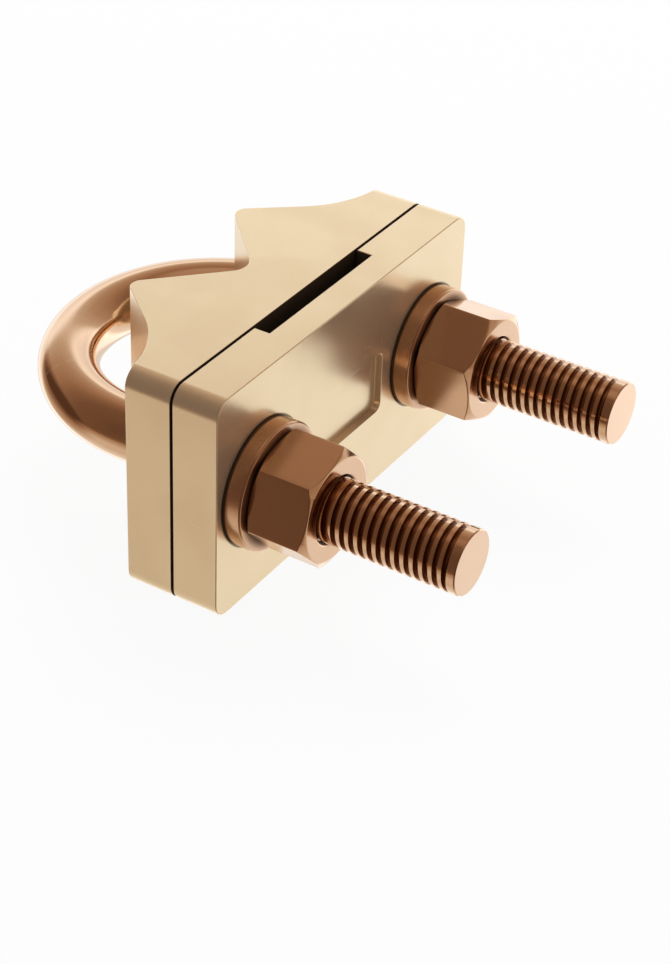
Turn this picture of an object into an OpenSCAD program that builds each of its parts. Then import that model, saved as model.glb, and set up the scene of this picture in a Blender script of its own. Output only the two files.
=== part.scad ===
// U-bolt rod clamp: joins a flat earthing tape to an upright round rod.
// Two castings are drawn together on the legs of a U-bolt. The saddle's V bears on the rod,
// the bend of the U-bolt hooks round the rod, and the tape is held in the front plate's slot.
// The origin is on the axis of the clamped rod, half way up the castings. +Z runs along the
// rod, +Y points from the nuts to the bend, and X runs from leg to leg.

/* [Rod seat] */
// Diameter of the rod that the clamp is drawn up on
rod_diameter = 20.6; // [18:0.2:23]
// Angle between the two flanks of the saddle's V
v_angle = 94; // [88:1:104]
// Radius at the bottom of the V
v_root_radius = 3.3; // [1:0.1:5]
// Distance of each horn's tip inside the bar of the U-bolt
horn_inset = 4.3; // [3.6:0.1:6]
// Radius round the tip of each horn
horn_tip_radius = 2; // [1:0.1:2.4]
// Slope of each horn's outer flank against the face of the castings
horn_flank_angle = 50; // [44:1:56]
// Radius of the hollow where a horn's outer flank runs out to the end of the saddle
flank_radius = 17.2; // [8:0.2:17.4]

/* [Castings] */
// Height of both castings, along the rod
casting_height = 37.2; // [26:0.2:60]
// Metal of both castings outside the axis of each leg
casting_end = 11.4; // [9:0.1:16]
// Radius of the four corners of both castings
corner_radius = 2.8; // [0.6:0.1:6]
// Thickness of the front plate
plate_thickness = 7.6; // [5.5:0.1:12]
// Metal of the saddle behind the bottom of its V
saddle_web = 10.6; // [8:0.1:14]
// Thickness of the saddle at its two ends
saddle_rim = 7.7; // [5:0.1:9]
// Gap left between the two castings when the clamp is drawn up
parting_gap = 0.4; // [0.2:0.1:1.5]

/* [Tape slot] */
// Width of the slot for the tape
slot_width = 28; // [20:0.5:30]
// Depth of the slot in the back of the front plate
slot_depth = 2.6; // [1.5:0.1:3.4]

/* [Face panel] */
// Width of the sunk panel between the two nuts
panel_width = 20.4; // [12:0.2:25]
// Height of the sunk panel
panel_height = 10.5; // [6:0.1:18]
// Depth of the sunk panel
panel_depth = 1.1; // [0.4:0.1:1.6]
// Radius of the panel's corners
panel_corner = 1.3; // [0.5:0.1:2.5]

/* [U-bolt] */
// Distance between the axes of the two legs
leg_spacing = 46.1; // [44:0.1:56]
// Diameter of the plain bar, in the bend and the upper legs
bar_diameter = 9.6; // [8.6:0.1:10]
// Diameter over the thread at the ends of the legs
thread_diameter = 10; // [9.6:0.1:10.6]
// Pitch of the thread, and the length of its run-out into the plain bar
thread_pitch = 1.5; // [1:0.25:1.75]
// Depth of the thread, from its crests to its roots
thread_depth = 0.6; // [0.3:0.05:0.9]
// Share of the pitch that the groove takes at the crests
thread_groove_share = 0.6; // [0.4:0.05:0.8]
// Length of the thread on each leg
thread_length = 40; // [36:1:46]
// Length of the U-bolt, from the outside of its bend to the ends of its legs
u_bolt_length = 86.3; // [70:0.1:98]

/* [Nuts and washers] */
// Width of the nuts across their flats
nut_across_flats = 16.4; // [14.5:0.1:19]
// Height of the nuts
nut_height = 9.9; // [6:0.1:12]
// Slope of the chamfer round both faces of a nut
nut_chamfer_angle = 30; // [15:1:40]
// Width of metal between a nut's round face and its flats
nut_face_margin = 0.2; // [0:0.05:0.8]
// Depth of the countersink at both mouths of a nut's bore
nut_countersink = 0.7; // [0.2:0.1:1.2]
// Turn of the left nut about its leg
nut_turn_left = 13.3; // [0:0.1:60]
// Turn of the right nut about its leg
nut_turn_right = 38.3; // [0:0.1:60]
// Diameter of the washers
washer_diameter = 20; // [17.5:0.5:22]
// Thickness of the washers
washer_thickness = 3; // [1.6:0.1:4]
// Radius of the washers' rounded edges
washer_edge = 0.3; // [0.1:0.05:0.6]

/* [Clearances] */
// Room round a leg in the holes of the castings
leg_clearance = 0.6; // [0.3:0.1:1]
// Room round a leg in a washer
washer_clearance = 0.3; // [0.15:0.05:0.6]
// Room round a leg in the bore of a nut
nut_clearance = 0.05; // [0.02:0.01:0.1]

/* [Hidden] */
$fn = 48;
thread_sides = 20;
cut = 1;
arc_steps = 12;

leg_x = leg_spacing / 2;
casting_width = leg_spacing + 2 * casting_end;
leg_diameter = max(bar_diameter, thread_diameter);
leg_hole_diameter = leg_diameter + 2 * leg_clearance;

// The rod touches both flanks of the V, so its radius sets how deep the V's sharp root lies.
v_half = v_angle / 2;
v_apex_y = -(rod_diameter / 2) / sin(v_half);
v_bottom_y = v_apex_y + v_root_radius * (1 / sin(v_half) - 1);

// Everything in front of the V follows down the legs, one face on the next.
saddle_front_y = v_bottom_y - saddle_web;
saddle_rim_y = saddle_front_y + saddle_rim;
plate_back_y = saddle_front_y - parting_gap;
plate_front_y = plate_back_y - plate_thickness;
washer_front_y = plate_front_y - washer_thickness;
nut_front_y = washer_front_y - nut_height;

// The legs end where the U-bolt's length says, measured from the outside of its bend.
leg_end_y = rod_diameter / 2 + bar_diameter - u_bolt_length;

// The bend is a half circle from leg to leg, and its inner side touches the rod.
bend_y = rod_diameter / 2 + bar_diameter / 2 - leg_x;
leg_length = bend_y - leg_end_y;

// A horn is the corner between the V's flank and its own outer flank, with its tip rounded.
flank_slope = 90 - v_half;
horn_x = leg_x - bar_diameter / 2 - horn_inset;
horn_y = v_apex_y + horn_x * tan(flank_slope);
horn_corner = 180 - flank_slope - horn_flank_angle;
horn_lean = (flank_slope - horn_flank_angle) / 2;
horn_center_depth = horn_tip_radius / sin(horn_corner / 2);
horn_center = [
    horn_x + horn_center_depth * sin(horn_lean),
    horn_y - horn_center_depth * cos(horn_lean)
];

// The hollow is a round that touches the outer flank and the back of the saddle's end.
flank_foot_x = horn_x + (horn_y - saddle_rim_y) / tan(horn_flank_angle);
flank_end_x = flank_foot_x + flank_radius * tan(horn_flank_angle / 2);
outline_end_x = max(casting_width / 2, flank_end_x) + cut;

nut_corner_radius = nut_across_flats / 2 / cos(30);
nut_face_radius = nut_across_flats / 2 - nut_face_margin;
nut_chamfer_height = (nut_corner_radius - nut_face_radius) * tan(nut_chamfer_angle);

// A length that starts at y and runs towards the bend.
module along_y(y) {
    translate([0, y, 0]) rotate([-90, 0, 0]) children();
}

// A copy of a shape on each leg.
module on_legs() {
    for (side = [-1, 1]) translate([side * leg_x, 0, 0]) children();
}

module rounded_rectangle(width, height, radius) {
    square([width - 2 * radius, height], center = true);
    square([width, height - 2 * radius], center = true);
    for (x = [-1, 1], y = [-1, 1])
        translate([x * (width / 2 - radius), y * (height / 2 - radius)]) circle(radius);
}

// The castings' outline as seen from the nuts, from one depth to another.
module casting_block(from_y, to_y) {
    along_y(from_y) linear_extrude(height = to_y - from_y)
        rounded_rectangle(casting_width, casting_height, corner_radius);
}

module leg_holes(from_y, to_y) {
    on_legs() along_y(from_y - cut) cylinder(d = leg_hole_diameter, h = to_y - from_y + 2 * cut);
}

// Points along a round, from one direction to another.
function arc(center, radius, from, to) = [
    for (i = [0 : arc_steps])
        center + radius * [cos(from + (to - from) * i / arc_steps), sin(from + (to - from) * i / arc_steps)]
];

// The +X half of the saddle's outline from above, from past its end round the horn to the V.
saddle_half = concat(
    [[outline_end_x, saddle_front_y], [outline_end_x, saddle_rim_y]],
    arc([flank_end_x, saddle_rim_y + flank_radius], flank_radius, -90, -90 - horn_flank_angle),
    arc(horn_center, horn_tip_radius, 90 - horn_flank_angle, 90 + flank_slope),
    arc([0, v_bottom_y + v_root_radius], v_root_radius, flank_slope - 90, -90)
);
saddle_outline = concat(
    saddle_half,
    [for (i = [len(saddle_half) - 2 : -1 : 0]) [-saddle_half[i][0], saddle_half[i][1]]]
);

module saddle() {
    color([0.85, 0.75, 0.58]) difference() {
        intersection() {
            linear_extrude(height = casting_height, center = true) polygon(saddle_outline);
            casting_block(saddle_front_y, horn_y);
        }
        leg_holes(saddle_front_y, horn_y);
    }
}

module tape_slot() {
    translate([-slot_width / 2, plate_back_y - slot_depth, -casting_height / 2 - cut])
        cube([slot_width, slot_depth + cut, casting_height + 2 * cut]);
}

module face_panel() {
    along_y(plate_front_y - cut) linear_extrude(height = panel_depth + cut)
        rounded_rectangle(panel_width, panel_height, panel_corner);
}

module front_plate() {
    color([0.85, 0.75, 0.58]) difference() {
        casting_block(plate_front_y, plate_back_y);
        tape_slot();
        face_panel();
        leg_holes(plate_front_y, plate_back_y);
    }
}

// Half the section of one straight leg, measured from the bend: plain bar, the run-out, one V
// groove for each turn of the thread, and a plain lip of one pitch at the flat end. The turns
// are closed rings, each a pitch apart.
thread_turns = floor(thread_length / thread_pitch) - 1;
crest_radius = thread_diameter / 2;
leg_section = concat(
    [
        [0, 0],
        [bar_diameter / 2, 0],
        [bar_diameter / 2, leg_length - thread_length - thread_pitch],
        [crest_radius, leg_length - thread_length]
    ],
    [
        for (turn = [thread_turns : -1 : 1], share = [thread_groove_share, thread_groove_share / 2, 0])
            [
                crest_radius - (share == thread_groove_share / 2 ? thread_depth : 0),
                leg_length - (turn + share) * thread_pitch
            ]
    ],
    [[crest_radius, leg_length], [0, leg_length]]
);

// The bend and both legs start from one plane, so they are one solid at every length.
module u_bolt() {
    color([0.64, 0.4, 0.27]) translate([0, bend_y, 0]) {
        rotate_extrude(angle = 180) translate([leg_x, 0]) circle(d = bar_diameter);
        on_legs() rotate([90, 0, 0]) rotate_extrude($fn = thread_sides) polygon(leg_section);
    }
}

module washer(x) {
    color([0.6, 0.37, 0.25]) translate([x, 0, 0]) along_y(washer_front_y) rotate_extrude()
        difference() {
            union() {
                translate([0, washer_edge])
                    square([washer_diameter / 2, washer_thickness - 2 * washer_edge]);
                square([washer_diameter / 2 - washer_edge, washer_thickness]);
                for (h = [washer_edge, washer_thickness - washer_edge])
                    translate([washer_diameter / 2 - washer_edge, h]) circle(washer_edge, $fn = 16);
            }
            translate([-cut, -cut])
                square([thread_diameter / 2 + washer_clearance + cut, washer_thickness + 2 * cut]);
        }
}

// A hexagon turned round with a cone at both faces, then bored and countersunk.
module nut(x, turn) {
    bore_radius = thread_diameter / 2 + nut_clearance;
    color([0.68, 0.43, 0.29]) translate([x, 0, 0]) rotate([0, -turn, 0]) along_y(washer_front_y)
        mirror([0, 0, 1]) difference() {
            intersection() {
                cylinder(r = nut_corner_radius, h = nut_height, $fn = 6);
                rotate_extrude() polygon([
                    [0, 0],
                    [nut_face_radius, 0],
                    [nut_corner_radius, nut_chamfer_height],
                    [nut_corner_radius + cut, nut_chamfer_height],
                    [nut_corner_radius + cut, nut_height - nut_chamfer_height],
                    [nut_corner_radius, nut_height - nut_chamfer_height],
                    [nut_face_radius, nut_height],
                    [0, nut_height]
                ]);
            }
            rotate_extrude() polygon([
                [0, -cut],
                [bore_radius + nut_countersink + cut, -cut],
                [bore_radius, nut_countersink],
                [bore_radius, nut_height - nut_countersink],
                [bore_radius + nut_countersink + cut, nut_height + cut],
                [0, nut_height + cut]
            ]);
        }
}

module washer_left() { washer(-leg_x); }
module washer_right() { washer(leg_x); }
module nut_left() { nut(-leg_x, nut_turn_left); }
module nut_right() { nut(leg_x, nut_turn_right); }

front_plate();
saddle();
u_bolt();
washer_left();
washer_right();
nut_left();
nut_right();
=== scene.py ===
import math

import bmesh
import bpy
from mathutils import Euler, Matrix, Vector


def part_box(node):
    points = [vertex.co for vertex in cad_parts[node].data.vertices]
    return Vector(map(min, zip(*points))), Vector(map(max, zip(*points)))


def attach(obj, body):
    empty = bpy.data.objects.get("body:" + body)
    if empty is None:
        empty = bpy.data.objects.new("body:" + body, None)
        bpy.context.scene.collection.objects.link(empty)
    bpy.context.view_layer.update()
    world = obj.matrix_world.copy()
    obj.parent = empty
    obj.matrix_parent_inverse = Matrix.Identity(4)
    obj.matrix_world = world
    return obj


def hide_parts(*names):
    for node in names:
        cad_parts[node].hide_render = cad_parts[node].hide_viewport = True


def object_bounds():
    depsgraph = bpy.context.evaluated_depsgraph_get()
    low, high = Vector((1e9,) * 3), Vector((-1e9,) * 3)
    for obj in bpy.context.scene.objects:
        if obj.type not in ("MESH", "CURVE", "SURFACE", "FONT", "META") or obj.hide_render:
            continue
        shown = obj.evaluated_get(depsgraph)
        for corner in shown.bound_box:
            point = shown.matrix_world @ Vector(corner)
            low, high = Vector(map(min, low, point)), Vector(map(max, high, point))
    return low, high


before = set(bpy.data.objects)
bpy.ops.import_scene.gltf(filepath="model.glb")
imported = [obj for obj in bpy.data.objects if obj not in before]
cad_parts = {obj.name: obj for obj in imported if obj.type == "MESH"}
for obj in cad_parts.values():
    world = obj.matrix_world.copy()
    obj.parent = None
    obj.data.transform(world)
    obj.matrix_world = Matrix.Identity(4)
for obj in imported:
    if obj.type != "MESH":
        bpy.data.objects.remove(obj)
cad_low, cad_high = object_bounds()
scene = bpy.context.scene
scene.view_settings.view_transform = "Standard"

# The camera. It stands in front of the left end of the clamp and looks down on it through a
# long lens, so both castings, both nuts and the bend show in one view.
camera_lens = 87.61
camera_near = 0.01
camera_place = (-0.25608, -0.1835, 0.19307)
camera_dip = 34.741
camera_heading = -59.079
camera_roll = 2.333

camera_data = bpy.data.cameras.new("camera")
camera_data.lens = camera_lens
camera_data.clip_start = camera_near
camera = bpy.data.objects.new("camera", camera_data)
camera.matrix_world = (
    Matrix.Translation(camera_place)
    @ Euler((math.radians(90 - camera_dip), 0, math.radians(camera_heading))).to_matrix().to_4x4()
    @ Matrix.Rotation(math.radians(camera_roll), 4, "Z")
)
scene.collection.objects.link(camera)
scene.camera = camera

# The studio. The clamp stands on a wide white floor that keeps its shadow, under one soft lamp.
# The metal mirrors the walls round it, which are bright on the far right and fall off to brown
# on the left.
floor_half = 3.0
floor_shade = 0.92
floor_whitening = 0.93
wall_light = 0.6
lamp_place = Vector((0.62, 0.2, 0.8))
lamp_width = 0.9
lamp_watts = 7.0

floor_mesh = bpy.data.meshes.new("floor")
floor_mesh.from_pydata(
    [(x * floor_half, y * floor_half, cad_low.z) for x, y in ((-1, -1), (1, -1), (1, 1), (-1, 1))],
    [], [(0, 1, 2, 3)],
)
floor = bpy.data.objects.new("floor", floor_mesh)
floor.visible_glossy = False
scene.collection.objects.link(floor)


def rays(nodes, links):
    """The light path, and 1 for the rays that show the stage to the camera itself."""
    path = nodes.new("ShaderNodeLightPath")
    seen = nodes.new("ShaderNodeMath")
    seen.operation = "MAXIMUM"
    links.new(path.outputs["Is Camera Ray"], seen.inputs[0])
    links.new(path.outputs["Is Transmission Ray"], seen.inputs[1])
    return path, seen.outputs[0]


floor_paint = bpy.data.materials.new("floor paint")
floor_paint.use_nodes = True
nodes, links = floor_paint.node_tree.nodes, floor_paint.node_tree.links
nodes.clear()
_, seen = rays(nodes, links)
painted = nodes.new("ShaderNodeBsdfDiffuse")
painted.inputs["Color"].default_value = (floor_shade, floor_shade, floor_shade, 1)
plain_white = nodes.new("ShaderNodeEmission")
whitened = nodes.new("ShaderNodeMixShader")
white_share = nodes.new("ShaderNodeMath")
white_share.operation = "MULTIPLY"
white_share.inputs[1].default_value = floor_whitening
output = nodes.new("ShaderNodeOutputMaterial")
links.new(seen, white_share.inputs[0])
links.new(white_share.outputs[0], whitened.inputs["Fac"])
links.new(painted.outputs[0], whitened.inputs[1])
links.new(plain_white.outputs[0], whitened.inputs[2])
links.new(whitened.outputs[0], output.inputs["Surface"])
floor_mesh.materials.append(floor_paint)

# How bright the walls are, from straight away from the bright side (-1) to straight at it (1).
bright_side = Vector((0.85, 0.45, -0.28))
wall_levels = [
    (-1.00, 0.12), (-0.65, 0.13), (-0.45, 0.17), (-0.10, 0.20), (0.10, 0.27), (0.30, 0.39),
    (0.50, 0.49), (0.60, 0.58), (0.65, 0.64), (0.69, 1.00), (0.73, 1.20), (0.80, 1.08),
    (0.88, 0.95), (1.00, 0.90),
]
# What lies over the walls: its direction, how straight a ray looks at it where it starts and
# where it is in full, and the brightness that it adds.
floor_side = Vector((0.25, -0.05, -0.97))
other_sides = [
    # The pale floor, which starts with a clear edge and brightens towards its middle.
    (floor_side, (0.06, 0.14), 0.20),
    (floor_side, (0.15, 0.45), 0.22),
    # A patch of light on the left of the floor, and a pale screen in front.
    (Vector((-0.70, 0.43, -0.57)), (0.90, 0.99), 0.10),
    (Vector((0.30, -0.94, 0.12)), (0.85, 0.97), 0.22),
    # The shade beyond the clamp, behind it, and in front of it on the left.
    (Vector((0.70, 0.44, -0.56)), (0.88, 0.96), -0.50),
    (Vector((-0.05, 0.95, -0.30)), (0.80, 0.96), -0.40),
    (Vector((-0.65, -0.45, -0.62)), (0.70, 0.92), -0.40),
    # A pale ceiling, straight above.
    (Vector((0.00, 0.00, 1.00)), (0.87, 0.98), 0.28),
]
level_colours = [
    (0.10, (0.10, 0.050, 0.028)),
    (0.20, (0.20, 0.112, 0.064)),
    (0.37, (0.37, 0.225, 0.140)),
    (0.50, (0.50, 0.355, 0.250)),
    (0.60, (0.60, 0.490, 0.380)),
    (0.70, (0.70, 0.600, 0.490)),
    (0.87, (0.87, 0.810, 0.730)),
    (1.00, (1.00, 0.980, 0.940)),
    (2.00, (2.00, 2.000, 2.000)),
]
top_level = level_colours[-1][0]

studio = bpy.data.worlds.new("studio")
scene.world = studio
studio.use_nodes = True
wall_nodes, wall_links = studio.node_tree.nodes, studio.node_tree.links
wall_nodes.clear()
path, seen = rays(wall_nodes, wall_links)
direction = wall_nodes.new("ShaderNodeTexCoord")


def facing(side, low, high, kind):
    """0 to 1 as a ray's direction turns to a side, between two dot products with it."""
    dot = wall_nodes.new("ShaderNodeVectorMath")
    dot.operation = "DOT_PRODUCT"
    dot.inputs[1].default_value = side.normalized()
    wall_links.new(direction.outputs["Generated"], dot.inputs[0])
    share = wall_nodes.new("ShaderNodeMapRange")
    share.interpolation_type = kind
    share.inputs["From Min"].default_value = low
    share.inputs["From Max"].default_value = high
    wall_links.new(dot.outputs["Value"], share.inputs["Value"])
    return share.outputs[0]


def ramp(stops, value):
    """The colour at a value, between stops of a position and a colour."""
    node = wall_nodes.new("ShaderNodeValToRGB")
    while len(node.color_ramp.elements) < len(stops):
        node.color_ramp.elements.new(0.5)
    for stop, (position, colour) in zip(node.color_ramp.elements, stops):
        stop.position = position
        stop.color = (*colour, 1)
    wall_links.new(value, node.inputs["Fac"])
    return node.outputs["Color"]


wall_level = ramp(
    [((dot + 1) / 2, (level / top_level,) * 3) for dot, level in wall_levels],
    facing(bright_side, -1.0, 1.0, "LINEAR"),
)
for side, reach, added_level in other_sides:
    level = wall_nodes.new("ShaderNodeMath")
    level.operation = "MULTIPLY_ADD"
    level.inputs[1].default_value = added_level / top_level
    wall_links.new(facing(side, *reach, "SMOOTHSTEP"), level.inputs[0])
    wall_links.new(wall_level, level.inputs[2])
    wall_level = level.outputs[0]
wall_colour = ramp([(at / top_level, colour) for at, colour in level_colours], wall_level)

# The walls light the clamp evenly, the metal mirrors their colours, and the camera sees white.
soft_light = wall_nodes.new("ShaderNodeBackground")
soft_light.inputs["Strength"].default_value = wall_light
mirrored_walls = wall_nodes.new("ShaderNodeBackground")
white_walls = wall_nodes.new("ShaderNodeBackground")
mirrored = wall_nodes.new("ShaderNodeMixShader")
shown_walls = wall_nodes.new("ShaderNodeMixShader")
output = wall_nodes.new("ShaderNodeOutputWorld")
wall_links.new(wall_colour, mirrored_walls.inputs["Color"])
wall_links.new(path.outputs["Is Glossy Ray"], mirrored.inputs["Fac"])
wall_links.new(soft_light.outputs[0], mirrored.inputs[1])
wall_links.new(mirrored_walls.outputs[0], mirrored.inputs[2])
wall_links.new(seen, shown_walls.inputs["Fac"])
wall_links.new(mirrored.outputs[0], shown_walls.inputs[1])
wall_links.new(white_walls.outputs[0], shown_walls.inputs[2])
wall_links.new(shown_walls.outputs[0], output.inputs["Surface"])

lamp_data = bpy.data.lights.new("soft_lamp", "AREA")
lamp_data.size = lamp_width
lamp_data.energy = lamp_watts
lamp = bpy.data.objects.new("soft_lamp", lamp_data)
lamp.location = lamp_place
lamp.rotation_euler = (-lamp_place).to_track_quat("-Z", "Y").to_euler()
lamp.visible_glossy = False
scene.collection.objects.link(lamp)

# The two castings, the front plate and the saddle. They are poured in gunmetal, tumbled so
# that every edge is a little round, and the U-bolt's legs pass through plain cored holes.
MM = 0.001
casting_edge = 0.18 * MM
sharpest_smooth_bend = math.radians(28)
flat_within = math.radians(0.3)
same_point = 0.002 * MM
slot_half_width = 14 * MM
slot_depth = 2.6 * MM
slot_floor_margin = 0.05 * MM
seam_margin = 0.03 * MM
cast_bareness = 0.82
cast_colour = (0.94, 0.78, 0.54)
cast_rubbed_colour = (0.97, 0.84, 0.62)
cast_dulled_colour = (0.87, 0.70, 0.465)
# The colour of painted shade: in the tape slot, in the seam, and where round parts sit against
# each other.
painted_shade_colour = (0.075, 0.038, 0.018)


def made_plain(piece):
    """The piece, with what its modifiers make as its own mesh."""
    evaluated = piece.evaluated_get(bpy.context.evaluated_depsgraph_get())
    mesh = bpy.data.meshes.new_from_object(evaluated)
    piece.modifiers.clear()
    piece.data = mesh
    mesh.name = piece.name
    return piece


def round_edges(piece, radius, steps, angle):
    """Rounds every edge that is sharper than the angle."""
    rounding = piece.modifiers.new("rounding", "BEVEL")
    rounding.width = radius
    rounding.segments = steps
    rounding.limit_method = "ANGLE"
    rounding.angle_limit = angle
    return rounding


def casting(name, node, body, finish):
    """A tumbled casting: the node's own faces, merged where they are flat, with round edges."""
    mesh = bpy.data.meshes.new(name)
    form = bmesh.new()
    form.from_mesh(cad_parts[node].data)
    bmesh.ops.remove_doubles(form, verts=form.verts, dist=same_point)
    bmesh.ops.dissolve_limit(form, angle_limit=flat_within, verts=form.verts, edges=form.edges)
    for face in form.faces:
        face.smooth = True
    form.to_mesh(mesh)
    form.free()
    mesh.materials.clear()
    mesh.materials.append(finish)
    piece = bpy.data.objects.new(name, mesh)
    scene.collection.objects.link(piece)
    round_edges(piece, casting_edge, 3, sharpest_smooth_bend).use_clamp_overlap = True
    flattening = piece.modifiers.new("flattening", "WEIGHTED_NORMAL")
    flattening.keep_sharp = False
    made_plain(piece)
    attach(piece, body)
    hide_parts(node)


def feed(socket, value):
    """Gives a socket a field or a plain value."""
    if isinstance(value, Field):
        value.tree.links.new(value.socket, socket)
    else:
        socket.default_value = value


class Field:
    """A number that a node tree works out at each point, so that a rule reads as a sum."""

    def __init__(self, tree, socket):
        self.tree, self.socket = tree, socket

    def by(self, operation, *others):
        node = self.tree.nodes.new("ShaderNodeMath")
        node.operation = operation
        for slot, value in zip(node.inputs, (self, *others)):
            feed(slot, value)
        return Field(self.tree, node.outputs[0])

    def __add__(self, other):
        return self.by("ADD", other)

    def __sub__(self, other):
        return self.by("SUBTRACT", other)

    def __mul__(self, other):
        return self.by("MULTIPLY", other)

    def __truediv__(self, other):
        return self.by("DIVIDE", other)

    def at_least(self, other):
        return self.by("MAXIMUM", other)

    def at_most(self, other):
        return self.by("MINIMUM", other)

    def above(self, other):
        return self.by("GREATER_THAN", other)

    def below(self, other):
        return self.by("LESS_THAN", other)

    def size(self):
        return self.by("ABSOLUTE")

    def eased(self, start, end):
        """0 at start and 1 at end, with a soft step between them."""
        node = self.tree.nodes.new("ShaderNodeMapRange")
        node.interpolation_type = "SMOOTHSTEP"
        for slot, value in zip(node.inputs, (self, start, end)):
            feed(slot, value)
        return Field(self.tree, node.outputs[0])


def split(tree, place):
    """The x, y and z of a place."""
    node = tree.nodes.new("ShaderNodeSeparateXYZ")
    feed(node.inputs[0], place)
    return [Field(tree, part) for part in node.outputs]


def joined(tree, x, y, z):
    """The place at x, y and z."""
    node = tree.nodes.new("ShaderNodeCombineXYZ")
    for slot, value in zip(node.inputs, (x, y, z)):
        feed(slot, value)
    return Field(tree, node.outputs[0])


def noise(tree, place, size, detail):
    """A cloudy field from 0 to 1, with clouds of about this size, which is a field too."""
    node = tree.nodes.new("ShaderNodeTexNoise")
    feed(node.inputs["Vector"], place)
    feed(node.inputs["Scale"], size.by("POWER", -1.0))
    node.inputs["Detail"].default_value = detail
    return Field(tree, node.outputs[0])


def effect(name, inputs, outputs):
    """An empty shader node group with named sockets, its inputs as fields, and its output."""
    group = bpy.data.node_groups.new(name, "ShaderNodeTree")
    for socket in inputs:
        kind = "NodeSocketVector" if socket == "Place" else "NodeSocketFloat"
        group.interface.new_socket(socket, in_out="INPUT", socket_type=kind)
    for socket in outputs:
        group.interface.new_socket(socket, in_out="OUTPUT", socket_type="NodeSocketFloat")
    entry = group.nodes.new("NodeGroupInput")
    end = group.nodes.new("NodeGroupOutput")
    return group, [Field(group, entry.outputs[socket]) for socket in inputs], end.inputs


def with_effect(tree, group, **values):
    """Places an effect in a material with its own values, and gives its outputs as fields."""
    node = tree.nodes.new("ShaderNodeGroup")
    node.node_tree = group
    for name, value in values.items():
        feed(node.inputs[name.replace("_", " ").title()], value)
    made = [Field(tree, socket) for socket in node.outputs]
    return made if len(made) > 1 else made[0]


def bare_metal(name, bareness=1.0):
    """A metal material, with its node tree, its shader, and the place on its piece."""
    material = bpy.data.materials.new(name)
    material.use_nodes = True
    tree = material.node_tree
    shader = tree.nodes["Principled BSDF"]
    shader.inputs["Metallic"].default_value = bareness
    place = Field(tree, tree.nodes.new("ShaderNodeTexCoord").outputs["Object"])
    return material, tree, shader, place


def finish_metal(tree, shader, colour, layers, roughness, height):
    """Lays each masked colour over the metal's own, and gives it its roughness and relief."""
    shown = (*colour, 1)
    for mask, layer in layers:
        mix = tree.nodes.new("ShaderNodeMix")
        mix.data_type = "RGBA"
        feed(mix.inputs["Factor"], mask)
        feed(mix.inputs["A"], shown)
        mix.inputs["B"].default_value = (*layer, 1)
        shown = Field(tree, mix.outputs["Result"])
    relief = tree.nodes.new("ShaderNodeBump")
    relief.inputs["Distance"].default_value = 1.0
    feed(relief.inputs["Height"], height)
    feed(shader.inputs["Base Color"], shown)
    feed(shader.inputs["Roughness"], roughness)
    feed(shader.inputs["Normal"], Field(tree, relief.outputs[0]))


# Fine grain: the skin that the mould or the tumbling barrel leaves on the metal.
fine_grain, (place, size), ends = effect("fine grain", ["Place", "Grain Size"], ["Grain"])
feed(ends["Grain"], noise(fine_grain, place, size, 3.0))

# Handling marks: soft clouds where the finish dulled, and a few hairline scratches. Each
# scratch follows the middle of a stretched cloud, and other clouds break it up.
scratch_lean = (0.5, 0.9, 0.7)
scratch_stretch = (0.06, 1.0, 1.0)
handling_marks, (place, size), ends = effect(
    "handling marks", ["Place", "Cloud Size"], ["Cloud", "Scratch"]
)
feed(ends["Cloud"], noise(handling_marks, place, size, 4.0).eased(0.36, 0.66))
leaning = handling_marks.nodes.new("ShaderNodeMapping")
leaning.inputs["Rotation"].default_value = scratch_lean
leaning.inputs["Scale"].default_value = scratch_stretch
feed(leaning.inputs["Vector"], place)
stretched = Field(handling_marks, leaning.outputs[0])
from_middle = (noise(handling_marks, stretched, size * 0.4, 1.0) - 0.5).size()
broken_up = noise(handling_marks, place, size * 0.6, 1.0).eased(0.52, 0.60)
feed(ends["Scratch"], from_middle.eased(0.006, 0.0) * broken_up)

# Edge rub: 1 at an outer edge, where the metal is rubbed bright, and 0 away from it.
edge_rub, (width,), ends = effect("edge rub", ["Width"], ["Rubbed"])
rounded = edge_rub.nodes.new("ShaderNodeBevel")
rounded.samples = 4
feed(rounded.inputs["Radius"], width)
surface = edge_rub.nodes.new("ShaderNodeNewGeometry")
agreement = edge_rub.nodes.new("ShaderNodeVectorMath")
agreement.operation = "DOT_PRODUCT"
edge_rub.links.new(rounded.outputs[0], agreement.inputs[0])
edge_rub.links.new(surface.outputs["Normal"], agreement.inputs[1])
feed(ends["Rubbed"], Field(edge_rub, agreement.outputs["Value"]).eased(0.995, 0.90))

# Ring shade: painted shade, a dark line where a round part sits against another, on each of the
# two legs.
ring_shade, (place, leg_at, ring, ring_y, reach), ends = effect(
    "ring shade", ["Place", "Leg X", "Ring Radius", "Ring Y", "Reach"], ["Grime"]
)
x, y, z = split(ring_shade, place)
from_leg = x.size() - leg_at
from_ring = (from_leg * from_leg + z * z).by("SQRT") - ring
from_plane = y - ring_y
away = (from_ring * from_ring + from_plane * from_plane).by("SQRT")
feed(ends["Grime"], away.eased(reach, 0.0))

bolt_low, bolt_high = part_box("u_bolt")
plate_low, plate_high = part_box("front_plate")
saddle_low, saddle_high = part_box("saddle")
washer_low, washer_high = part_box("washer_left")
# The U-bolt is as wide as its legs are apart, and one leg more.
leg_x = bolt_high.x - bolt_high.z


def contact_shade_ring(tree, place, radius, at_y, reach):
    """Painted ring shade in a material, where a part of this radius ends at this Y."""
    return with_effect(
        tree, ring_shade, place=place, leg_x=leg_x, ring_radius=radius, ring_y=at_y, reach=reach,
    )


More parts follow.
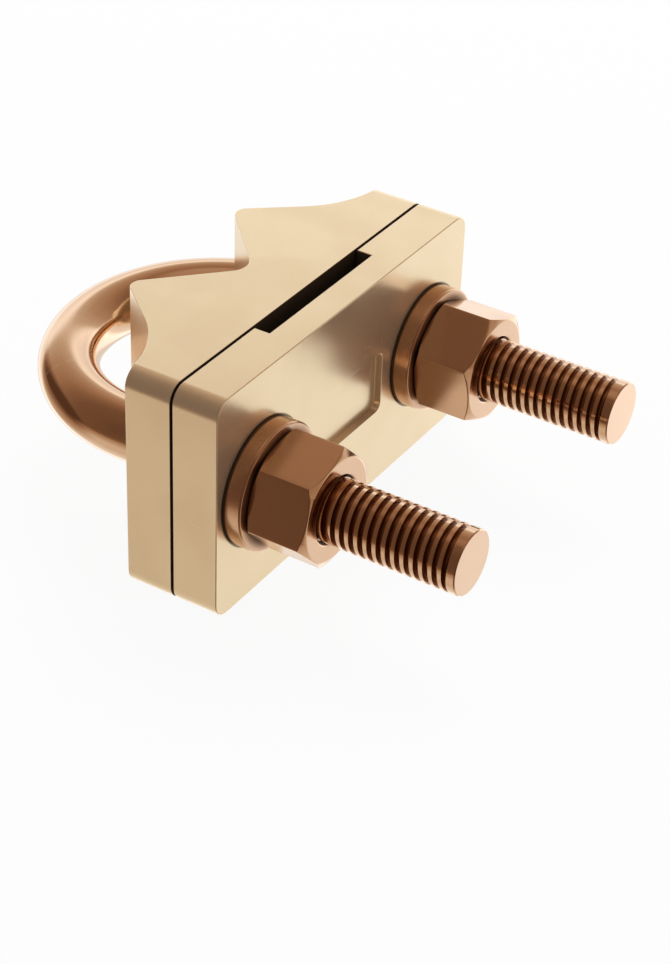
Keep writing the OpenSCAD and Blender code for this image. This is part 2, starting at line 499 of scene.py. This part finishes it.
gunmetal, tree, skin, place = bare_metal("cast gunmetal", cast_bareness)
grain = with_effect(tree, fine_grain, place=place, grain_size=0.32 * MM)
cloud, scratch = with_effect(tree, handling_marks, place=place, cloud_size=11 * MM)
rubbed = with_effect(tree, edge_rub, width=0.5 * MM)
# Painted shade on the plate: a dark ring round each washer, where it sits on the plate.
painted_shade = contact_shade_ring(tree, place, washer_high.z, plate_low.y, 0.8 * MM).eased(0.45, 0.9)
# Painted shade: the faces inside the tape slot and the seam get a dark colour and more roughness,
# for the shade that falls in them.
x, y, z = split(tree, place)
between = (y - (plate_high.y - slot_depth - slot_floor_margin)).above(0.0)
between = between * (y - (saddle_low.y + seam_margin)).below(0.0)
slot_shade = between * x.size().below(slot_half_width + seam_margin)
seam_shade = between * (y - (plate_high.y - seam_margin)).above(0.0)
slot_and_seam_shade = slot_shade.at_least(seam_shade)
finish_metal(
    tree, skin, cast_colour,
    [
        (cloud * 0.35 + grain * 0.06, cast_dulled_colour),
        (rubbed * 0.5, cast_rubbed_colour),
        (scratch * 0.25, cast_rubbed_colour),
        ((painted_shade * 0.85).at_least(slot_and_seam_shade * 0.9), painted_shade_colour),
    ],
    grain * 0.02 + cloud * 0.03 - rubbed * 0.04 + slot_and_seam_shade * 0.35 + 0.23,
    grain * (0.0005 * MM) - scratch * (0.002 * MM),
)

casting("front_plate_cast", "front_plate", "plate", gunmetal)
casting("saddle_cast", "saddle", "saddle", gunmetal)

# The U-bolt. A round bronze bar is bent to a half circle, and each leg carries a rolled
# right-hand thread that swells a little over the bar and ends in a short plain lip.
bar_radius = 4.8 * MM
thread_radius = bolt_high.z
bend_y = bolt_high.y - bar_radius - leg_x
thread_pitch = 1.5 * MM
thread_depth = 0.72 * MM
thread_turns = 26.5
leg_rim = 0.18 * MM
seam_gap = 0.001 * MM
drawn_line_width = 0.22 * MM
# A crease is an edge that bends by more than this many degrees.
bar_crease = 38
bar_sides = 48
rows_per_turn = 24
# Half of a crest, and one flank, as shares of the pitch.
crest_half = 5 / 24
flank_width = 1 / 24
# How much of the pitch lies before the groove at the leg's end starts, and where it is in full.
lead_in = (0.75, 1.05)
bar_colour = (0.82, 0.58, 0.41)
bar_dulled_colour = (0.76, 0.51, 0.34)
bar_line_colour = (0.72, 0.47, 0.31)
bar_scratch_colour = (0.92, 0.73, 0.58)
# The colour of painted shade in the thread's grooves.
groove_shade_colour = (0.32, 0.16, 0.085)


def sized_tree(name, sizes):
    """A Geometry Nodes tree with a named input for each size, and those inputs as fields."""
    tree = bpy.data.node_groups.new(name, "GeometryNodeTree")
    for size in sizes:
        tree.interface.new_socket(size, in_out="INPUT", socket_type="NodeSocketFloat")
    tree.interface.new_socket("Piece", in_out="OUTPUT", socket_type="NodeSocketGeometry")
    entry = tree.nodes.new("NodeGroupInput")
    return tree, [Field(tree, entry.outputs[size]) for size in sizes]


def point_place(tree):
    """The place of each point, as it is before the points are moved."""
    return Field(tree, tree.nodes.new("GeometryNodeInputPosition").outputs[0])


def sheet_of_points(tree, columns, rows):
    """A flat grid, and each point's column and row as fields that count from 0."""
    grid = tree.nodes.new("GeometryNodeMeshGrid")
    grid.inputs["Vertices X"].default_value = columns
    grid.inputs["Vertices Y"].default_value = rows
    across, up, _ = split(tree, point_place(tree))
    column = ((across + 0.5) * (columns - 1)).by("ROUND")
    row = ((up + 0.5) * (rows - 1)).by("ROUND")
    return grid.outputs["Mesh"], column, row


def placed(tree, mesh, x, y, z):
    """The mesh with its points set to x, y and z."""
    move = tree.nodes.new("GeometryNodeSetPosition")
    tree.links.new(mesh, move.inputs["Geometry"])
    feed(move.inputs["Position"], joined(tree, x, y, z))
    return move.outputs[0]


def marked(tree, mesh, name, value):
    """The flat mesh with a value stored at its points, for its material to read."""
    store = tree.nodes.new("GeometryNodeStoreNamedAttribute")
    store.data_type = "FLOAT_VECTOR" if value.socket.type == "VECTOR" else "FLOAT"
    store.inputs["Name"].default_value = name
    tree.links.new(mesh, store.inputs["Geometry"])
    feed(store.inputs["Value"], value)
    return store.outputs[0]


def mark(tree, name, kind):
    """A value that is stored at the mesh's points, as a field of its material."""
    node = tree.nodes.new("ShaderNodeAttribute")
    node.attribute_name = name
    return Field(tree, node.outputs[kind])


def closed_piece(tree, meshes, finish, crease):
    """Ends a tree: joins the meshes, closes their seams, and creases their sharp edges."""
    together = tree.nodes.new("GeometryNodeJoinGeometry")
    for mesh in meshes:
        tree.links.new(mesh, together.inputs[0])
    merged = tree.nodes.new("GeometryNodeMergeByDistance")
    merged.inputs["Distance"].default_value = seam_gap
    angle = tree.nodes.new("GeometryNodeInputMeshEdgeAngle")
    sharp = Field(tree, angle.outputs["Unsigned Angle"]).above(math.radians(crease))
    smooth = tree.nodes.new("GeometryNodeSetShadeSmooth")
    creased = tree.nodes.new("GeometryNodeSetShadeSmooth")
    creased.domain = "EDGE"
    creased.inputs["Shade Smooth"].default_value = False
    realized = tree.nodes.new("GeometryNodeRealizeInstances")
    coloured = tree.nodes.new("GeometryNodeSetMaterial")
    coloured.inputs["Material"].default_value = finish
    result = tree.nodes.new("NodeGroupOutput")
    tree.links.new(together.outputs[0], merged.inputs["Geometry"])
    tree.links.new(merged.outputs[0], smooth.inputs["Geometry"])
    tree.links.new(smooth.outputs[0], creased.inputs["Geometry"])
    tree.links.new(sharp.socket, creased.inputs["Selection"])
    tree.links.new(creased.outputs[0], realized.inputs["Geometry"])
    tree.links.new(realized.outputs[0], coloured.inputs["Geometry"])
    tree.links.new(coloured.outputs[0], result.inputs[0])


def grown(name, tree, sizes):
    """A plain mesh that the tree makes at these sizes."""
    piece = bpy.data.objects.new(name, bpy.data.meshes.new(name))
    scene.collection.objects.link(piece)
    rule = piece.modifiers.new("rule", "NODES")
    rule.node_group = tree
    for item in tree.interface.items_tree:
        if item.in_out == "INPUT":
            rule[item.identifier] = sizes[item.name]
    return made_plain(piece)


# Drawn lines: faint streaks along Y, the way the bar was pulled through its die.
drawn_lines, (place, size), ends = effect("drawn lines", ["Place", "Line Width"], ["Lines"])
x, y, z = split(drawn_lines, place)
feed(ends["Lines"], noise(drawn_lines, joined(drawn_lines, x, y * 0.015, z), size, 2.0))

bolt_bronze, tree, skin, place = bare_metal("bolt bronze")
lay = mark(tree, "lay", "Vector")
root = mark(tree, "groove", "Fac")
lines = with_effect(tree, drawn_lines, place=lay, line_width=drawn_line_width)
cloud, scratch = with_effect(tree, handling_marks, place=lay, cloud_size=9 * MM)
finish_metal(
    tree, skin, bar_colour,
    [
        (cloud * 0.3, bar_dulled_colour),
        (lines.eased(0.45, 0.75) * 0.2, bar_line_colour),
        (scratch * 0.3, bar_scratch_colour),
        # Painted shade in the thread's grooves.
        (root.eased(0.0, 0.3), groove_shade_colour),
    ],
    lines * 0.05 + cloud * 0.03 + root * 0.10 + scratch * 0.1 + 0.06,
    lines * (0.0008 * MM) - scratch * (0.0015 * MM),
)

bolt_sizes = {
    "Leg X": leg_x,
    "Bend Y": bend_y,
    "Leg End Y": bolt_low.y,
    "Bar Radius": bar_radius,
    "Thread Radius": thread_radius,
    "Thread Pitch": thread_pitch,
    "Thread Depth": thread_depth,
    "Thread Turns": thread_turns,
    "Leg Rim": leg_rim,
}
bolt_tree, fields = sized_tree("threaded u-bolt", bolt_sizes)
(leg_at, bend_at, end_at, bar, crest, pitch, depth, turns, rim) = fields

# One threaded leg. The grid's rows run with the thread, so each crest and groove is crisp:
# a row climbs one pitch on its way round and meets a later row where it started. The first
# rows close the leg's end, with a pole in its middle.
threaded_rows = int((thread_turns + 1) * rows_per_turn) + 1
cap_rows = 2
bar_length = bend_at * 2.0 + leg_at * math.pi
legs = []
for side in (-1, 1):
    mesh, column, row = sheet_of_points(bolt_tree, bar_sides + 1, threaded_rows + cap_rows)
    turn = column / bar_sides
    step = (row - cap_rows) / rows_per_turn - 1.0
    on_bar = row.above(cap_rows - 0.5)
    past_pole = row.above(0.5)
    climb = (step + turn).at_least(0.0).at_most(turns) * pitch
    along = (climb + rim) * on_bar
    # Whole turns are added, so that the share of a turn is never that of a negative number.
    phase = (step + 100.0).by("FRACT") - 0.5
    flank = ((phase.size() - crest_half) / flank_width).at_least(0.0).at_most(1.0)
    groove = flank * climb.eased(pitch * lead_in[0], pitch * lead_in[1])
    groove = groove * climb.eased(turns * pitch, turns * pitch - pitch)
    width = (crest - groove * depth) * on_bar + (crest - rim) * (past_pole - on_bar)
    angle = turn * (2 * math.pi)
    x = leg_at * float(side) - width * angle.by("COSINE")
    y = end_at + along
    z = width * angle.by("SINE")
    # "lay" is the place on the bar before it was bent, with the bar's length along Y.
    lay_y = y if side < 0 else bar_length - y
    lay = joined(bolt_tree, width * angle.by("COSINE") * float(-side), lay_y, z)
    mesh = marked(bolt_tree, marked(bolt_tree, mesh, "lay", lay), "groove", groove)
    legs.append(placed(bolt_tree, mesh, x, y, z))

# The plain bar between the threads: the run-out, the straight, the bend, and back again.
straight_rows = 3
bend_rows = 72
bar_rows = 2 * straight_rows + bend_rows
mesh, column, row = sheet_of_points(bolt_tree, bar_sides + 1, bar_rows + 1)
bend_share = ((row - straight_rows) / bend_rows).at_least(0.0).at_most(1.0)
heading = bend_share * math.pi
from_end = row.at_most(row * -1.0 + bar_rows).at_most(straight_rows)
thread_end = end_at + rim + turns * pitch
run_out = from_end.at_most(1.0)
straight = (from_end - 1.0).at_least(0.0) / (straight_rows - 1)
leg_y = (thread_end + run_out * pitch) * (straight * -1.0 + 1.0) + bend_at * straight
width = crest - (crest - bar) * run_out
angle = column / bar_sides * (2 * math.pi)
out = leg_at + width * angle.by("COSINE")
x = out * heading.by("COSINE") * -1.0
y = leg_y + out * heading.by("SINE")
z = width * angle.by("SINE")
past_bend = bend_share.above(0.999)
lay_y = leg_y + past_bend * (bar_length - leg_y * 2.0) + (
    leg_at * heading * (past_bend * -1.0 + 1.0)
)
lay = joined(bolt_tree, width * angle.by("COSINE"), lay_y, z)
mesh = marked(bolt_tree, marked(bolt_tree, mesh, "lay", lay), "groove", row * 0.0)
plain_bar = placed(bolt_tree, mesh, x, y, z)

closed_piece(bolt_tree, [*legs, plain_bar], bolt_bronze, bar_crease)
u_bolt = grown("u_bolt_bar", bolt_tree, bolt_sizes)
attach(u_bolt, "u_bolt")
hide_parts("u_bolt")

# The two washers, thick bronze discs with rounded edges, one on each leg between the plate
# and its nut. They stay with the plate.
washer_front_edge = 0.1 * MM
washer_back_edge = 0.4 * MM
washer_bore = thread_radius + 0.3 * MM
washer_crease = 38
washer_sides = 96
washer_edge_steps = 4
nut_flats = 16.4 * MM
ring_width = 0.16 * MM
washer_colour = (0.78, 0.53, 0.365)
washer_dulled_colour = (0.70, 0.455, 0.30)
washer_ring_colour = (0.66, 0.42, 0.27)
washer_rubbed_colour = (0.90, 0.69, 0.53)

# Lathe marks: faint rings round each leg's axis, left by the turning tool.
lathe_marks, (place, leg_at, size), ends = effect(
    "lathe marks", ["Place", "Leg X", "Ring Width"], ["Rings"]
)
x, y, z = split(lathe_marks, place)
from_leg = x.size() - leg_at
from_axis = (from_leg * from_leg + z * z).by("SQRT")
feed(ends["Rings"], noise(lathe_marks, joined(lathe_marks, from_axis, y, z * 0.01), size, 2.0))

washer_bronze, tree, skin, place = bare_metal("washer bronze")
rings = with_effect(tree, lathe_marks, place=place, leg_x=leg_x, ring_width=ring_width)
cloud, scratch = with_effect(tree, handling_marks, place=place, cloud_size=7 * MM)
rubbed = with_effect(tree, edge_rub, width=0.4 * MM)
# Painted shade: a dark line where the washer sits on the plate, and a darker face round the nut.
at_plate = contact_shade_ring(tree, place, washer_high.z, plate_low.y, 0.8 * MM).eased(0.15, 0.55)
at_nut = contact_shade_ring(tree, place, nut_flats / 2, washer_low.y, 1.9 * MM)
painted_shade = at_plate.at_least(at_nut)
finish_metal(
    tree, skin, washer_colour,
    [
        (cloud * 0.4, washer_dulled_colour),
        (rings.eased(0.45, 0.75) * 0.2, washer_ring_colour),
        (rubbed * 0.25, washer_rubbed_colour),
        (painted_shade * 0.8, painted_shade_colour),
    ],
    rings * 0.08 + cloud * 0.05 - rubbed * 0.03 + painted_shade * 0.3 + 0.18,
    rings * (0.0012 * MM) - scratch * (0.0015 * MM),
)

# A washer is its section, with filleted corners, swept round a ring that lies across the leg.
washer_tree, fields = sized_tree("washer", [
    "Leg X", "Back Y", "Thickness", "Bore Radius", "Rim Radius", "Front Edge", "Back Edge",
])
leg_at, back, thick, bore, rim, front_edge, back_edge = fields
ring = washer_tree.nodes.new("GeometryNodeCurvePrimitiveCircle")
ring.inputs["Resolution"].default_value = washer_sides
section = washer_tree.nodes.new("GeometryNodeCurvePrimitiveQuadrilateral")
filleted = washer_tree.nodes.new("GeometryNodeFilletCurve")
filleted.mode = "POLY"
filleted.inputs["Count"].default_value = washer_edge_steps
at_front = split(washer_tree, point_place(washer_tree))[1].above(0.0)
swept = washer_tree.nodes.new("GeometryNodeCurveToMesh")
stood = washer_tree.nodes.new("GeometryNodeTransform")
stood.inputs["Rotation"].default_value = (math.radians(90), 0, 0)
feed(ring.inputs["Radius"], (bore + rim) * 0.5)
feed(section.inputs["Width"], rim - bore)
feed(section.inputs["Height"], thick)
feed(filleted.inputs["Radius"], back_edge + (front_edge - back_edge) * at_front)
feed(stood.inputs["Translation"], joined(washer_tree, leg_at, back - thick * 0.5, 0.0))
washer_tree.links.new(section.outputs[0], filleted.inputs["Curve"])
washer_tree.links.new(ring.outputs[0], swept.inputs["Curve"])
washer_tree.links.new(filleted.outputs[0], swept.inputs["Profile Curve"])
washer_tree.links.new(swept.outputs[0], stood.inputs["Geometry"])
closed_piece(washer_tree, [stood.outputs[0]], washer_bronze, washer_crease)

for side, x in (("left", -leg_x), ("right", leg_x)):
    low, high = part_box(f"washer_{side}")
    washer = grown(f"washer_{side}_disc", washer_tree, {
        "Leg X": x,
        "Back Y": high.y,
        "Thickness": high.y - low.y,
        "Bore Radius": washer_bore,
        "Rim Radius": high.z,
        "Front Edge": washer_front_edge,
        "Back Edge": washer_back_edge,
    })
    washer.modifiers.new("flattening", "WEIGHTED_NORMAL")
    made_plain(washer)
    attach(washer, "plate")
    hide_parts(f"washer_{side}")

# The two nuts, hexagons turned from bronze bar. Both faces are chamfered to a round, the
# bore's mouths are countersunk, and each nut stopped at its own turn when it came tight.
nut_low, nut_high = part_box("nut_left")
nut_face_margin = 0.2 * MM
nut_chamfer_slope = 30
nut_countersink = 0.5 * MM
nut_bore = thread_radius + 0.05 * MM
nut_edge = 0.16 * MM
nut_crease = 20
nut_turns = {"left": 13.3, "right": 38.3}
columns_per_flat = 16
nut_colour = (0.79, 0.54, 0.37)
nut_dulled_colour = (0.71, 0.465, 0.305)
nut_line_colour = (0.68, 0.44, 0.285)
nut_rubbed_colour = (0.91, 0.70, 0.54)

nut_bronze, tree, skin, place = bare_metal("nut bronze")
turned = mark(tree, "turned", "Fac")
rings = with_effect(tree, lathe_marks, place=place, leg_x=leg_x, ring_width=ring_width)
lines = with_effect(tree, drawn_lines, place=place, line_width=drawn_line_width)
machined = lines + (rings - lines) * turned
cloud, scratch = with_effect(tree, handling_marks, place=place, cloud_size=7 * MM)
rubbed = with_effect(tree, edge_rub, width=0.4 * MM)
# Painted shade: a dark line where the nut sits on the washer, and dark in its countersunk mouth
# round the leg.
at_washer = contact_shade_ring(tree, place, nut_flats / 2, nut_high.y, 0.6 * MM)
at_mouth = contact_shade_ring(tree, place, nut_bore, nut_low.y + nut_countersink, 0.75 * MM)
painted_shade = at_washer.at_least(at_mouth.eased(0.1, 0.4))
finish_metal(
    tree, skin, nut_colour,
    [
        (cloud * 0.35, nut_dulled_colour),
        (machined.eased(0.45, 0.75) * 0.2, nut_line_colour),
        (rubbed * 0.25, nut_rubbed_colour),
        (painted_shade * 0.85, painted_shade_colour),
    ],
    machined * 0.07 + cloud * 0.05 - rubbed * 0.03 + painted_shade * 0.3 + 0.12,
    machined * (0.0012 * MM) - scratch * (0.0015 * MM),
)

# A nut is a grid wrapped round its leg. Each row is one corner of the nut's section, given as
# its distance from the axis and from the front, and the last row closes on the first.
nut_tree, fields = sized_tree("nut", [
    "Leg X", "Back Y", "Height", "Flats", "Turn", "Bore Radius", "Countersink", "Face Margin",
])
leg_at, back, height, flats, turned_by, bore, countersink, margin = fields
nut_corners = 8
mesh, column, row = sheet_of_points(nut_tree, 6 * columns_per_flat + 1, nut_corners + 1)
from_flat = ((column / columns_per_flat).by("FRACT") - 0.5) * math.radians(60)
hexagon = flats * 0.5 / from_flat.by("COSINE")
face = flats * 0.5 - margin
chamfer = (hexagon - face) * math.tan(math.radians(nut_chamfer_slope))
mouth = bore + countersink
nothing = row * 0.0
corners = [
    (bore, countersink), (mouth, nothing), (face, nothing), (hexagon, chamfer),
    (hexagon, height - chamfer), (face, height), (mouth, height), (bore, height - countersink),
    (bore, countersink),
]
width, along = nothing, nothing
for number, (from_axis, from_front) in enumerate(corners):
    here = (row - float(number)).size().below(0.5)
    width = width + from_axis * here
    along = along + from_front * here
angle = column * math.radians(60 / columns_per_flat) + turned_by
x = leg_at + width * angle.by("COSINE")
y = back - along
z = width * angle.by("SINE")
# The lathe turned every row but the two that bound the flats.
mesh = marked(nut_tree, mesh, "turned", (row - 3.5).size().above(1.0))
closed_piece(nut_tree, [placed(nut_tree, mesh, x, y, z)], nut_bronze, nut_crease)

for side, x in (("left", -leg_x), ("right", leg_x)):
    low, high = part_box(f"nut_{side}")
    nut = grown(f"nut_{side}_hexagon", nut_tree, {
        "Leg X": x,
        "Back Y": high.y,
        "Height": high.y - low.y,
        "Flats": nut_flats,
        "Turn": math.radians(nut_turns[side]),
        "Bore Radius": nut_bore,
        "Countersink": nut_countersink,
        "Face Margin": nut_face_margin,
    })
    round_edges(nut, nut_edge, 2, math.radians(nut_crease))
    nut.modifiers.new("flattening", "WEIGHTED_NORMAL")
    made_plain(nut)
    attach(nut, f"nut_{side}")
    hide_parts(f"nut_{side}")
